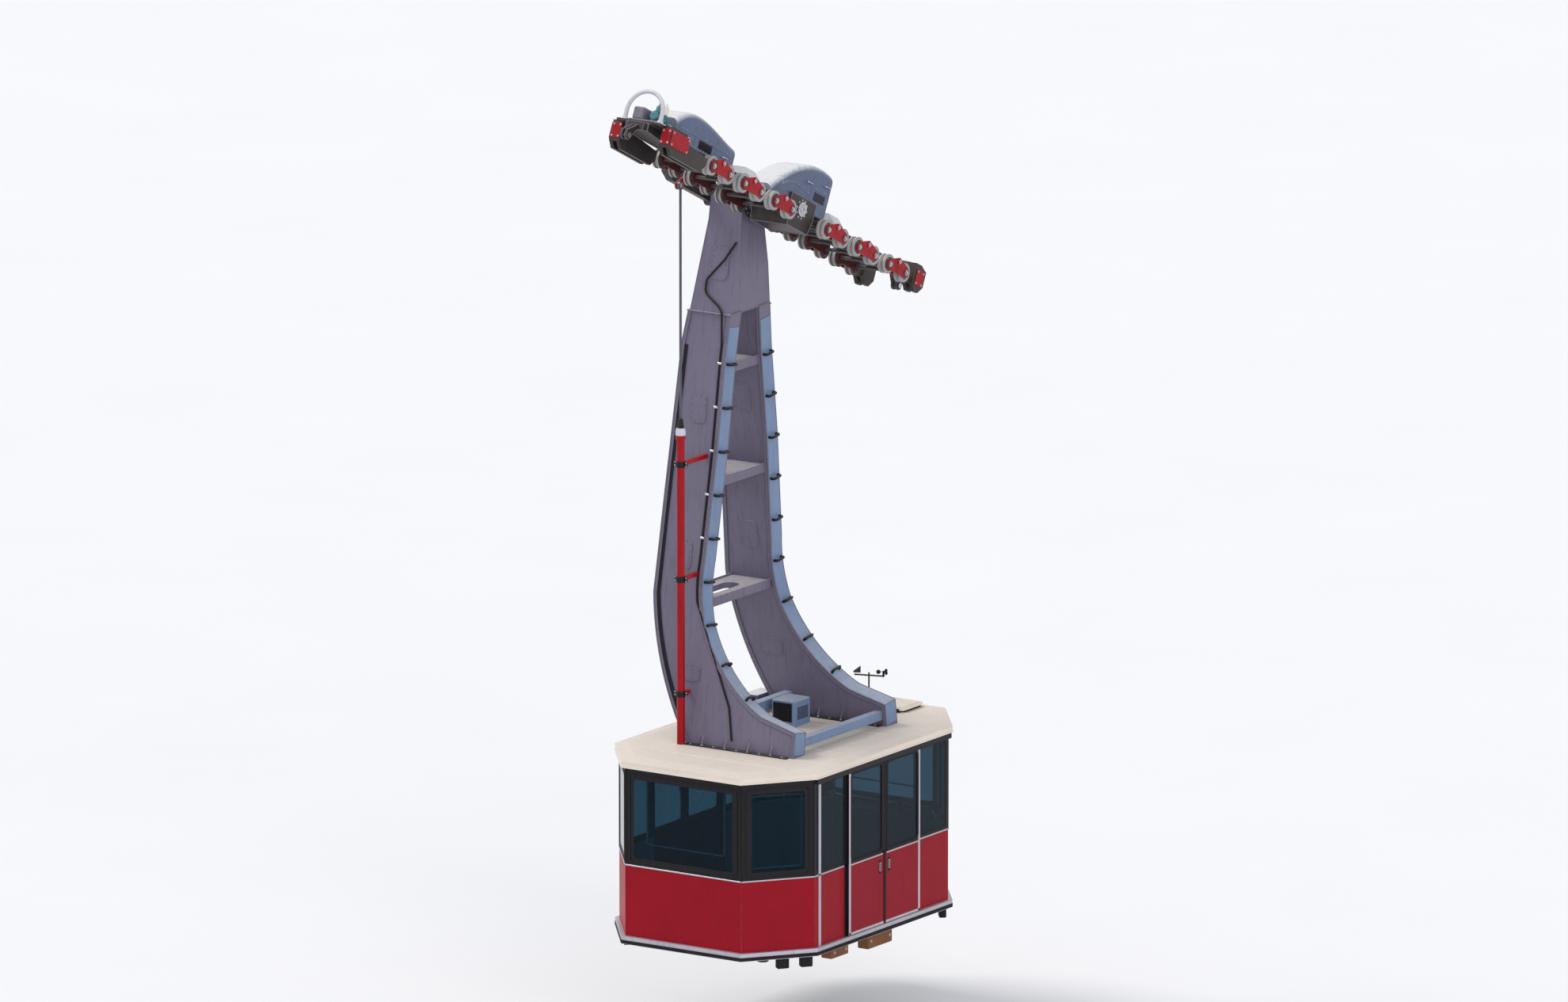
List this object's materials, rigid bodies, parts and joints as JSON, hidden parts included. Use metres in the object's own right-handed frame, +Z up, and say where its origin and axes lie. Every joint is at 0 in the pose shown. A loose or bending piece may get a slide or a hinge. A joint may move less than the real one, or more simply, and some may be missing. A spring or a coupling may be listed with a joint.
{
  "type": "aerial tramway vehicle",
  "caption": "Cable car vehicle: twin-rope roller carriage, C-shaped two-arm hanger with swing damper, and an eight-sided cabin with double sliding doors on both sides.",
  "frame": {"origin": "midway between the two track ropes at the middle of the carriage, above the cabin", "axes": "+X along the travel direction towards the lower end, +Y to the side that carries the hanger's arms, +Z up; the carriage slopes with the ropes and the cabin hangs level"},
  "size_m": [6.8139, 3.3, 12.3316],
  "materials": {
    "aluminium_trim": "natural anodised aluminium",
    "black_frame": "satin black paint",
    "bright_steel": "ground steel",
    "cream_roof": "matt cream paint",
    "dark_steel": "dark brown-black paint, greasy and dusty",
    "desk_plastic": "moulded dark grey plastic",
    "door_leaf": "gloss red paint below, satin black round the window",
    "floor_board": "ribbed dark floor covering",
    "grey_paint": "satin light grey paint",
    "red_panel": "gloss red paint",
    "red_steel": "satin red paint",
    "roller_steel": "satin light grey, worn bright on the tread",
    "silver_cover": "silver grey paint",
    "window_glass": "tinted clear glass"
  },
  "bodies": {
    "carriage": {"spine_beam": "dark_steel", "outer_beam": "dark_steel", "yokes": "dark_steel", "hanger_pin": "bright_steel", "haul_rope_clevises": "dark_steel", "rockers": "red_steel", "front_hood": "silver_cover", "centre_hood": "silver_cover", "damper_bracket": "red_steel", "guard_hoop": "silver_cover", "rope_brakes": "dark_steel"},
    "hanger_and_cabin": {"arm_ties": "grey_paint", "attendant_desk": "desk_plastic", "bumper_rail": "aluminium_trim", "cabin_floor": "floor_board", "corner_panels": "red_panel", "corner_window_frames": "black_frame", "corner_windows": "window_glass", "damper_tube": "red_steel", "door_tracks": "aluminium_trim", "end_panels": "red_panel", "end_window_frames": "black_frame", "end_windows": "window_glass", "foot_bars": "grey_paint", "grab_poles": "bright_steel", "hanger_arm_front": "grey_paint", "hanger_arm_rear": "grey_paint", "hanger_head": "grey_paint", "roof": "cream_roof", "roof_locker": "grey_paint", "side_panels": "red_panel", "side_window_frames": "black_frame", "side_windows": "window_glass", "underframe": "dark_steel"},
    "damper_rod": {"damper_rod": "bright_steel"},
    "door_left_front": {"door_left_front": "door_leaf", "door_window_left_front": "window_glass"},
    "door_left_rear": {"door_left_rear": "door_leaf", "door_window_left_rear": "window_glass"},
    "door_right_front": {"door_right_front": "door_leaf", "door_window_right_front": "window_glass"},
    "door_right_rear": {"door_right_rear": "door_leaf", "door_window_right_rear": "window_glass"},
    "wheelset_01": {"wheelset_01": "roller_steel"},
    "wheelset_02": {"wheelset_02": "roller_steel"},
    "wheelset_03": {"wheelset_03": "roller_steel"},
    "wheelset_04": {"wheelset_04": "roller_steel"},
    "wheelset_05": {"wheelset_05": "roller_steel"},
    "wheelset_06": {"wheelset_06": "roller_steel"},
    "wheelset_07": {"wheelset_07": "roller_steel"},
    "wheelset_08": {"wheelset_08": "roller_steel"},
    "wheelset_09": {"wheelset_09": "roller_steel"},
    "wheelset_10": {"wheelset_10": "roller_steel"},
    "wheelset_11": {"wheelset_11": "roller_steel"},
    "wheelset_12": {"wheelset_12": "roller_steel"}
  },
  "joints": [
    {"name": "hanger_swing", "type": "hinge", "parent": "carriage", "child": "hanger_and_cabin", "pos_m": [0.11836, 0.78, 0.24267], "axis": [0, 1, 0], "range_deg": [-14, 36]},
    {"name": "damper_slide", "type": "slide", "parent": "hanger_and_cabin", "child": "damper_rod", "axis": [0, 0, 1], "range_m": [-0.87, 0.344]},
    {"name": "door_left_front_slide", "type": "slide", "parent": "hanger_and_cabin", "child": "door_left_front", "axis": [-1, 0, 0], "range_m": [0, 0.78]},
    {"name": "door_left_rear_slide", "type": "slide", "parent": "hanger_and_cabin", "child": "door_left_rear", "axis": [1, 0, 0], "range_m": [0, 0.78]},
    {"name": "door_right_front_slide", "type": "slide", "parent": "hanger_and_cabin", "child": "door_right_front", "axis": [-1, 0, 0], "range_m": [0, 0.78]},
    {"name": "door_right_rear_slide", "type": "slide", "parent": "hanger_and_cabin", "child": "door_right_rear", "axis": [1, 0, 0], "range_m": [0, 0.78]},
    {"name": "wheelset_01_spin", "type": "hinge", "parent": "carriage", "child": "wheelset_01", "pos_m": [-2.31013, 0, 1.28583], "axis": [0, 1, 0], "continuous": true},
    {"name": "wheelset_02_spin", "type": "hinge", "parent": "carriage", "child": "wheelset_02", "pos_m": [-1.91466, 0, 1.09294], "axis": [0, 1, 0], "continuous": true},
    {"name": "wheelset_03_spin", "type": "hinge", "parent": "carriage", "child": "wheelset_03", "pos_m": [-1.54615, 0, 0.91321], "axis": [0, 1, 0], "continuous": true},
    {"name": "wheelset_04_spin", "type": "hinge", "parent": "carriage", "child": "wheelset_04", "pos_m": [-1.15068, 0, 0.72033], "axis": [0, 1, 0], "continuous": true},
    {"name": "wheelset_05_spin", "type": "hinge", "parent": "carriage", "child": "wheelset_05", "pos_m": [-0.78218, 0, 0.5406], "axis": [0, 1, 0], "continuous": true},
    {"name": "wheelset_06_spin", "type": "hinge", "parent": "carriage", "child": "wheelset_06", "pos_m": [-0.38671, 0, 0.34771], "axis": [0, 1, 0], "continuous": true},
    {"name": "wheelset_07_spin", "type": "hinge", "parent": "carriage", "child": "wheelset_07", "pos_m": [0.51208, 0, -0.09066], "axis": [0, 1, 0], "continuous": true},
    {"name": "wheelset_08_spin", "type": "hinge", "parent": "carriage", "child": "wheelset_08", "pos_m": [0.90755, 0, -0.28354], "axis": [0, 1, 0], "continuous": true},
    {"name": "wheelset_09_spin", "type": "hinge", "parent": "carriage", "child": "wheelset_09", "pos_m": [1.27606, 0, -0.46327], "axis": [0, 1, 0], "continuous": true},
    {"name": "wheelset_10_spin", "type": "hinge", "parent": "carriage", "child": "wheelset_10", "pos_m": [1.67153, 0, -0.65616], "axis": [0, 1, 0], "continuous": true},
    {"name": "wheelset_11_spin", "type": "hinge", "parent": "carriage", "child": "wheelset_11", "pos_m": [2.04003, 0, -0.83589], "axis": [0, 1, 0], "continuous": true},
    {"name": "wheelset_12_spin", "type": "hinge", "parent": "carriage", "child": "wheelset_12", "pos_m": [2.4355, 0, -1.02877], "axis": [0, 1, 0], "continuous": true}
  ],
  "couplings": [
    {"joint": "damper_slide", "follows": "hanger_swing", "m_per_rad": -1.3685},
    {"joint": "door_left_rear_slide", "follows": "door_left_front_slide", "ratio": 1},
    {"joint": "door_right_rear_slide", "follows": "door_right_front_slide", "ratio": 1}
  ]
}
